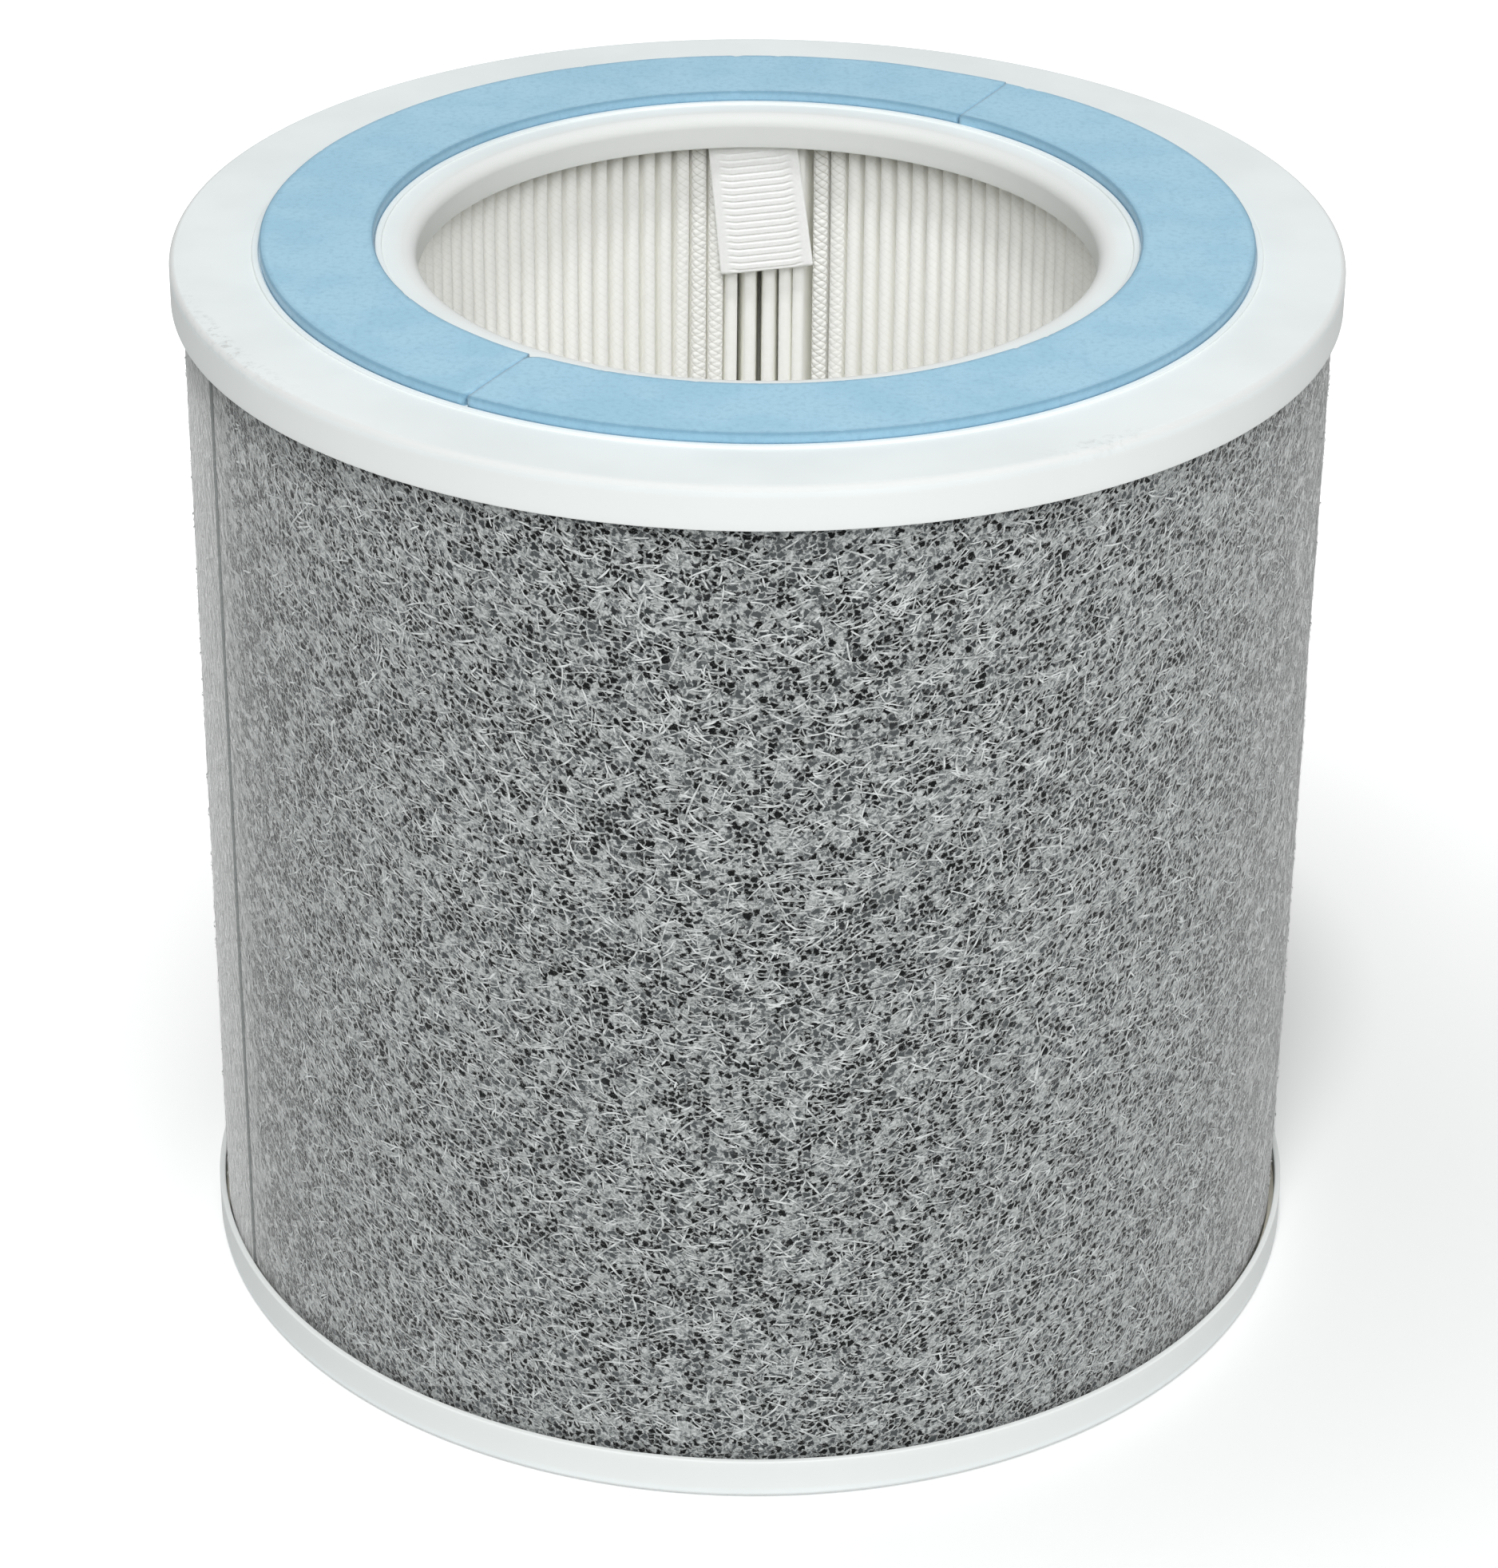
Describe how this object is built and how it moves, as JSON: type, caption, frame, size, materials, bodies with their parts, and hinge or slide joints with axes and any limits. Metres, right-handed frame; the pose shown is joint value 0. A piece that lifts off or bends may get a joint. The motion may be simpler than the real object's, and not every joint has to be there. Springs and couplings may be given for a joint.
{
  "type": "air purifier filter",
  "caption": "Cylindrical air purifier filter cartridge: pleated media in a grey carbon cloth wrap, white moulded end caps, a split foam gasket and a pull tab in the bore.",
  "frame": {"origin": "centre of the lower end cap's flat face, on the cartridge's axis", "axes": "+Z along the cartridge's axis, up through the bore and out at the gasket end; the pull tab hangs on the +Y side of the bore"},
  "size_m": [0.22, 0.22, 0.2124],
  "materials": {
    "cap_plastic": "satin white moulding",
    "gasket_foam": "pale blue fine-celled foam",
    "glue": "set hot-melt adhesive",
    "media_fibre": "off-white pleated fibre sheet",
    "wrap_cloth": "grey non-woven cloth with dark carbon grains",
    "tab_webbing": "white ribbed webbing"
  },
  "bodies": {
    "root": {"top_end_cap": "cap_plastic", "bottom_end_cap": "cap_plastic", "gasket_front_half": "gasket_foam", "gasket_back_half": "gasket_foam", "top_glue_bed": "glue", "bottom_glue_bed": "glue", "pleated_media": "media_fibre", "carbon_wrap": "wrap_cloth", "pull_tab": "tab_webbing"}
  },
  "joints": []
}
